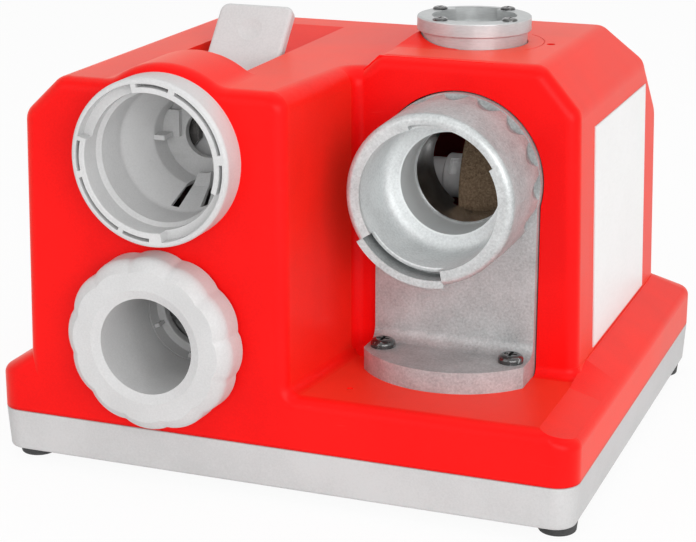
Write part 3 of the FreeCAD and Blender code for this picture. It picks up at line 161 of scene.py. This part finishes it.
class Graph:
    """The node tree of a material or the world. Every node that is added comes from one method."""

    def __init__(self, owner):
        owner.use_nodes = True
        self.tree = owner.node_tree

    def node(self, kind, settings=None, sockets=None, out=0):
        """Adds a node: its settings come first, then the values or links of its sockets."""
        made = self.tree.nodes.new("ShaderNode" + kind)
        for key, value in (settings or {}).items():
            setattr(made, key, value)
        self.fill(made, sockets or {})
        return Value(self, made.outputs[out])

    def fill(self, node, sockets):
        """Links the sockets that are given another node's value, and sets the rest."""
        for key, value in sockets.items():
            if isinstance(value, Value):
                self.tree.links.new(value.socket, node.inputs[key])
            else:
                node.inputs[key].default_value = value

    def first_shader(self, name, sockets):
        """Sets the shader that the tree starts with, and gives its output."""
        shader = self.tree.nodes[name]
        self.fill(shader, sockets)
        return Value(self, shader.outputs[0])

    def white_where_seen(self, lit, white, share, output):
        """Mixes a share of plain white into what the camera, reflections and glass see of the lit shader."""
        camera = self.node("LightPath", out="Is Camera Ray")
        seen = camera.larger(camera.output("Is Glossy Ray")).larger(camera.output("Is Transmission Ray"))
        mix = self.node("MixShader", {}, {0: seen * share, 1: lit, 2: white})
        self.fill(self.tree.nodes[output], {"Surface": mix})


class Finish(Graph):
    """One material on the main shader, with the nodes that vary it over the surface."""

    def __init__(self, name, **constants):
        self.material = bpy.data.materials.new(name)
        super().__init__(self.material)
        self.feed(**constants)
        self.place = self.node("TexCoord", out="Object")
        self.x = self.node("SeparateXYZ", {}, {0: self.place}, out="X")
        self.y = self.x.output("Y")
        self.z = self.x.output("Z")

    def feed(self, **sockets):
        """Sets the main shader's sockets, with _ for each space in a name."""
        spaced = {key.replace("_", " "): value for key, value in sockets.items()}
        self.first_shader("Principled BSDF", spaced)

    def noise(self, scale, detail=3.0, roughness=0.5, stretch=None):
        """Soft noise, about scale lumps to the metre. A stretch below 1 draws it out along that axis."""
        vector = self.place
        if stretch:
            vector = self.node("Mapping", {}, {"Vector": vector, "Scale": stretch})
        return self.node("TexNoise", {}, {"Vector": vector, "Scale": scale, "Detail": detail,
                                          "Roughness": roughness}, out="Fac")

    def cells(self, scale):
        """Distance from the middle of the nearest grain, with about scale grains to the metre."""
        return self.node("TexVoronoi", {}, {"Vector": self.place, "Scale": scale}, out="Distance")

    def distance(self, first, second, axis):
        """Distance from a straight axis, in the two coordinates across it."""
        aside = first - axis[0]
        apart = second - axis[1]
        return (aside * aside + apart * apart).root()

    def colour(self, amount, first, second):
        """The first colour where amount is 0, the second where it is 1 and a mix between."""
        return self.node("Mix", {"data_type": "RGBA"}, {0: amount, 6: rgba(first), 7: rgba(second)}, out=2)

    def bump(self, height, strength, depth, normal=None):
        """Normal of relief that is depth high, on top of any coarser relief."""
        sockets = {"Height": height, "Strength": strength, "Distance": depth}
        if normal:
            sockets["Normal"] = normal
        return self.node("Bump", {}, sockets)

    def dress(self, *names):
        """Puts this finish on the named pieces."""
        for name in names:
            materials = nodes[name].data.materials
            materials.clear()
            materials.append(self.material)


def rgba(colour):
    """A colour as its socket takes it: a link stays, and a plain colour gets its alpha."""
    if isinstance(colour, Value):
        return colour
    return tuple(colour) + (1.0,)


def grey(level):
    return (level, level, level)


# Moulded plastics

def red_shell():
    """Satin red moulding: orange-peel skin, flow marks, fine scuffs, a shaded seam and painted shade inside
    the housing.
    """
    finish = Finish("red_shell", Specular_IOR_Level=0.12, Sheen_Weight=0.30, Sheen_Roughness=0.45,
                    Sheen_Tint=WARM_SHEEN)
    clouds = finish.noise(14.0, 4.0, 0.55)
    flow = finish.noise(60.0, 3.0, 0.5, stretch=(1.0, 1.0, 0.16))
    skin = finish.noise(1500.0, 3.0, 0.6)
    scratches = finish.noise(260.0, 2.0, 0.7, stretch=(0.22, 1.0, 1.6)).span(0.66, 0.74)
    scuffs = scratches * finish.noise(25.0).span(0.52, 0.7)
    depth = (clouds * 0.6 + flow * 0.15 + skin * 0.25).span(0.36, 0.64)
    base = finish.colour(depth, DEEP_RED, LIGHT_RED)
    base = finish.colour(scuffs * 0.30, base, SCUFFED_RED)
    seam = 1 - finish.z.span(SEAM_Z, SEAM_Z + SEAM_SHADE)
    base = finish.colour(seam * 0.45, base, SEAM_RED)
    # Painted shade: the inside of the housing, up to the sloping rear shoulder, is painted nearly black
    shoulder = finish.y + (finish.z - SHOULDER_Z) * SHOULDER_SLOPE
    inside_shade = (finish.x.band(*INSIDE_SHADE_X) * finish.y.band(*INSIDE_SHADE_Y) * finish.z.band(*INSIDE_SHADE_Z)
            * (1 - shoulder.span(*SHOULDER_Y)))
    waves = finish.bump(finish.noise(30.0, 2.0), 0.12, 1.0 * MM)
    peel = finish.bump(finish.noise(700.0, 2.0), 0.16, 0.06 * MM, waves)
    finish.feed(Base_Color=finish.colour(inside_shade * (0.75 + clouds * 0.25), base, INSIDE_SHADE),
                Roughness=0.33 + (clouds - 0.5) * 0.14 + skin * 0.06 + scuffs * 0.12,
                Normal=finish.bump(finish.noise(2600.0, 3.0, 0.65), 0.30, 0.05 * MM, peel))
    return finish


def grey_moulding(name, dark, light, roughness, grain):
    """Light moulded grey: faint clouds, fine specks, grain and a few handling marks."""
    finish = Finish(name, Specular_IOR_Level=0.35)
    clouds = finish.noise(28.0, 4.0, 0.55)
    specks = finish.noise(1300.0, 2.0, 0.6)
    depth = (clouds * 0.6 + specks * 0.4).span(0.34, 0.66)
    streaks = finish.noise(180.0, 3.0, 0.65, stretch=(0.3, 1.0, 1.0)).span(0.64, 0.76)
    marks = streaks * finish.noise(30.0).span(0.48, 0.7)
    base = finish.colour(depth, grey(dark), grey(light))
    waves = finish.bump(finish.noise(45.0, 2.0), 0.10, 0.8 * MM)
    finish.feed(Base_Color=finish.colour(marks * 0.35, base, grey(dark * 0.72)),
                Roughness=roughness + (clouds - 0.5) * 0.12 + marks * 0.10,
                Normal=finish.bump(finish.noise(grain, 4.0, 0.65), 0.34, 0.06 * MM, waves))
    return finish


def dark_moulding(name, dark, light, roughness, grain, depth):
    """Black plastic or rubber: dusty in its clouds, with a coarse grain."""
    finish = Finish(name)
    clouds = finish.noise(90.0, 4.0, 0.6)
    specks = finish.noise(1400.0, 2.0)
    dusty = (clouds * 0.7 + specks * 0.3).span(0.35, 0.68)
    finish.feed(Base_Color=finish.colour(dusty, grey(dark), grey(light)),
                Roughness=roughness + (clouds - 0.5) * 0.16,
                Normal=finish.bump(finish.noise(grain, 3.0, 0.6), 0.4, depth))
    return finish


def blank_sticker():
    """Bare white sticker: paper fibre under a thin laminate, greyer towards its cut edge."""
    finish = Finish("blank_sticker", Specular_IOR_Level=0.4)
    fibre = finish.noise(500.0, 5.0, 0.7, stretch=(1.0, 0.5, 1.4))
    clouds = finish.noise(35.0, 3.0)
    low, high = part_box("side_label")
    inside = (finish.y.band(low.y + LABEL_BORDER, high.y - LABEL_BORDER, LABEL_SOFT)
              * finish.z.band(low.z + LABEL_BORDER, high.z - LABEL_BORDER, LABEL_SOFT))
    paper = finish.colour((fibre * 0.6 + clouds * 0.4).span(0.3, 0.7), PAPER_SHADE, PAPER_WHITE)
    finish.feed(Base_Color=finish.colour(inside, CUT_EDGE, paper),
                Roughness=0.30 + (clouds - 0.5) * 0.12 + fibre * 0.05,
                Normal=finish.bump(fibre, 0.15, 0.03 * MM, finish.bump(clouds, 0.10, 0.4 * MM)))
    return finish


# Metals and the abrasive

def sand_cast():
    """Sand-blasted casting: speckle and mottling, a machined rim, painted light in the bore and sleeve,
    painted shade in the scoops and a darker tube.
    """
    finish = Finish("cast_aluminium", Metallic=0.35, Specular_IOR_Level=0.4)
    radius = finish.distance(finish.x, finish.z, PORT_AXIS)
    grit = finish.noise(1100.0, 3.0, 0.7)
    mottle = finish.noise(130.0, 5.0, 0.62)
    clouds = finish.noise(38.0, 3.0)
    before_plate = 1 - finish.y.span(PORT_ROOT_Y - 1.0 * MM, PORT_ROOT_Y)
    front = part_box("sharpening_bracket")[0].y
    behind_rim = finish.y.span(front + PORT_RIM[0], front + PORT_RIM[1])
    rim = 1 - behind_rim
    # Painted light: the bore and the sleeve behind the rim are painted paler
    lit_and_turned_bore = (1 - radius.span(*PORT_BORE_R)) * behind_rim
    lit_sleeve = (1 - radius.span(*PORT_SLEEVE_R)) * behind_rim
    tube = radius.span(*PORT_TUBE_R) * before_plate * behind_rim * finish.z.span(*PORT_TUBE_Z)
    # Painted shade: the scoops round the tube's root are painted darker
    scoop_shade = radius.band(*SCOOP_SHADE_R) * finish.y.band(*SCOOP_SHADE_Y)
    tone = 0.43 + (grit - 0.5) * 0.74 + (mottle - 0.5) * 0.46 + (clouds - 0.5) * 0.34
    tone = tone + rim * 0.18 + lit_and_turned_bore * 0.46 + lit_sleeve * 0.22 - tube * 0.06 - scoop_shade * 0.20
    turning = radius.wave(0.55 * MM) * (rim + lit_and_turned_bore * 0.5)
    lathe = finish.bump(turning, 0.12, 0.03 * MM)
    lumps = finish.bump(mottle, 0.25, 0.35 * MM, lathe)
    finish.feed(Base_Color=finish.colour(tone, CAST_DARK, CAST_LIGHT),
                Roughness=0.56 + (mottle - 0.5) * 0.20 - rim * 0.16,
                Normal=finish.bump(grit, 0.50, 0.10 * MM, lumps))
    return finish


def turned_aluminium():
    """Bright turned ring: fine lathe rings on its top and lines round its side."""
    finish = Finish("turned_aluminium", Metallic=0.40, Specular_IOR_Level=0.4)
    low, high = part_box("top_port_flange")
    radius = finish.distance(finish.x, finish.y, (low + high) / 2)
    top = finish.z.span(high.z - 0.5 * MM, high.z - 0.1 * MM)
    rings = radius.wave(0.42 * MM) * top + finish.z.wave(0.5 * MM) * (1 - top)
    streaks = finish.noise(900.0, 3.0, 0.7, stretch=(0.35, 0.35, 2.2))
    mottle = finish.noise(150.0, 4.0, 0.6)
    tone = 0.46 + rings * 0.05 + (streaks - 0.5) * 0.40 + (mottle - 0.5) * 0.36 - top * 0.12
    finish.feed(Base_Color=finish.colour(tone, TURNED_DARK, TURNED_LIGHT),
                Roughness=0.34 + (mottle - 0.5) * 0.18 + (streaks - 0.5) * 0.12,
                Normal=finish.bump(rings + streaks * 1.4, 0.16, 0.03 * MM))
    return finish


def steel(name, dark, light, roughness, metallic):
    """Drawn or rolled steel: lengthwise streaks, dull patches and fine scratches."""
    finish = Finish(name, Metallic=metallic)
    streaks = finish.noise(420.0, 4.0, 0.65, stretch=(0.12, 1.0, 1.0))
    patches = finish.noise(70.0, 4.0, 0.6)
    amount = (streaks * 0.5 + patches * 0.5).span(0.33, 0.67)
    finish.feed(Base_Color=finish.colour(amount, dark, light),
                Roughness=roughness + (patches - 0.5) * 0.22,
                Normal=finish.bump(streaks, 0.18, 0.05 * MM))
    return finish


def laminations():
    """Stacked iron sheets: a line every half millimetre along the motor's axis."""
    finish = Finish("core_iron", Metallic=0.8)
    sheets = finish.x.wave(0.5 * MM)
    patches = finish.noise(110.0, 4.0, 0.6)
    amount = (sheets * 0.2 + patches).span(0.25, 0.8)
    finish.feed(Base_Color=finish.colour(amount, IRON_DARK, IRON_LIGHT),
                Roughness=0.52 + (patches - 0.5) * 0.2,
                Normal=finish.bump(sheets, 0.3, 0.08 * MM))
    return finish


def black_screws():
    """Black oxide screws: glossy, with bright rubbed spots where the driver bites."""
    finish = Finish("black_screws", Metallic=0.35, Coat_Weight=0.8, Coat_Roughness=0.08)
    wear = finish.noise(700.0, 4.0, 0.65)
    film = finish.noise(220.0, 3.0)
    base = finish.colour(film, grey(0.018), grey(0.055))
    finish.feed(Base_Color=finish.colour(wear.span(0.58, 0.70), base, grey(0.30)),
                Roughness=0.22 + (film - 0.5) * 0.16,
                Normal=finish.bump(wear, 0.22, 0.08 * MM))
    return finish


def abrasive():
    """Coarse brown stone: grains of several browns with open pores between them."""
    finish = Finish("abrasive", Specular_IOR_Level=0.3)
    grains = finish.cells(2200.0)
    tint = finish.noise(1100.0, 3.0, 0.6)
    clouds = finish.noise(70.0, 3.0)
    stone = finish.colour(tint.span(0.32, 0.70), STONE_DARK, STONE_LIGHT)
    stone = finish.colour(clouds * 0.5, stone, STONE_CLOUD)
    finish.feed(Base_Color=finish.colour(grains.span(0.6, 0.9) * 0.6, stone, STONE_PORE),
                Roughness=0.80 + (tint - 0.5) * 0.2,
                Normal=finish.bump(grains, 0.6, 0.25 * MM))
    return finish


def plated(name, metallic, dark, light):
    """Plated steel: bright skin with fine lathe rings and a few dull stains."""
    finish = Finish(name, Metallic=metallic, Specular_IOR_Level=0.6)
    rings = finish.x.wave(0.45 * MM) + finish.y.wave(0.55 * MM)
    stains = finish.noise(160.0, 4.0, 0.6)
    finish.feed(Base_Color=finish.colour(stains.span(0.35, 0.65), grey(dark), grey(light)),
                Roughness=0.15 + (stains - 0.5) * 0.14,
                Normal=finish.bump(rings, 0.08, 0.02 * MM))
    return finish


def dress_model():
    red_shell().dress("housing_shell")
    grey_moulding("grey_ports", dark=0.550, light=0.630, roughness=0.42, grain=2200.0).dress(
        "alignment_port", "pawl_guide", "pawl_lever", "chuck_knob", "chuck_body", "chuck_socket")
    grey_moulding("grey_tray", dark=0.510, light=0.580, roughness=0.46, grain=1700.0).dress("base_tray")
    dark_moulding("black_fittings", dark=0.014, light=0.034, roughness=0.40, grain=2400.0,
                  depth=0.05 * MM).dress("cooling_fan", "switch_frame", "switch_rocker", "cord_gland")
    dark_moulding("foot_rubber", dark=0.030, light=0.062, roughness=0.72, grain=1300.0,
                  depth=0.12 * MM).dress("rubber_feet")
    blank_sticker().dress("side_label")
    sand_cast().dress("sharpening_bracket", "motor_cap_left", "motor_cap_right")
    turned_aluminium().dress("top_port_body", "top_port_flange")
    steel("plain_steel", grey(0.38), grey(0.60), roughness=0.34, metallic=0.9).dress(
        "lever_pin", "lever_spring", "chuck_jaws", "rotor_shaft", "motor_can", "bearing_left",
        "bearing_right", "motor_cradle")
    steel("dark_steel", OXIDE_DARK, OXIDE_LIGHT, roughness=0.30, metallic=0.80).dress(
        "pawl_left", "pawl_right", "wheel_guard")
    laminations().dress("stator_core", "rotor_core")
    black_screws().dress("foot_screws", "bracket_screws", "top_port_screws", "drive_screws")
    abrasive().dress("grinding_wheel")
    plated("bright_hub", metallic=0.15, dark=0.86, light=0.95).dress("wheel_arbor", "wheel_nut")
    plated("bright_liner", metallic=0.95, dark=0.42, light=0.62).dress("port_liner")


# Studio

def aim(thing, target):
    thing.rotation_euler = (target - thing.location).to_track_quat("-Z", "Y").to_euler()


def softbox(name, place, size, watts):
    lamp = bpy.data.lights.new(name, "AREA")
    lamp.shape = "RECTANGLE"
    lamp.size, lamp.size_y = size
    lamp.energy = watts
    holder = bpy.data.objects.new(name, lamp)
    bpy.context.scene.collection.objects.link(holder)
    holder.location = place
    aim(holder, LAMP_TARGET)


def build_world():
    world = bpy.data.worlds.new("studio")
    bpy.context.scene.world = world
    sky = Graph(world)
    white = rgba(grey(1.0))
    lit = sky.first_shader("Background", {"Color": white, "Strength": WORLD_LEVEL})
    plain = sky.node("Background", {}, {"Color": white, "Strength": 1.0})
    sky.white_where_seen(lit, plain, 1.0, "World Output")


def build_floor():
    bpy.ops.mesh.primitive_plane_add(size=FLOOR_SIZE)
    floor = bpy.context.object
    floor.name = "floor"
    material = bpy.data.materials.new("floor_paper")
    floor.data.materials.append(material)
    paper = Graph(material)
    lit = paper.first_shader("Principled BSDF", {"Base Color": rgba(grey(FLOOR_GREY)),
                                                 "Roughness": FLOOR_ROUGHNESS, "Specular IOR Level": 0.0})
    glow = paper.node("Emission", {}, {"Strength": 1.0})
    paper.white_where_seen(lit, glow, FLOOR_WHITE, "Material Output")


def build_camera():
    lens = bpy.data.cameras.new("photo_camera")
    lens.sensor_fit = "HORIZONTAL"
    lens.sensor_width = SENSOR_MM
    lens.lens = FOCAL_PIXELS / IMAGE_WIDTH * SENSOR_MM
    lens.clip_start = CAMERA_NEAR
    camera = bpy.data.objects.new("photo_camera", lens)
    bpy.context.scene.collection.objects.link(camera)
    level = math.cos(CAMERA_ELEVATION)
    away = Vector((math.sin(CAMERA_AZIMUTH) * level, -math.cos(CAMERA_AZIMUTH) * level,
                   math.sin(CAMERA_ELEVATION)))
    camera.location = CAMERA_TARGET + away * CAMERA_DISTANCE
    aim(camera, CAMERA_TARGET)
    bpy.context.scene.camera = camera


dress_model()
build_world()
build_floor()
for name, (place, size, watts) in SOFTBOXES.items():
    softbox(name, place, size, watts)
build_camera()
bpy.context.scene.view_settings.view_transform = "Standard"
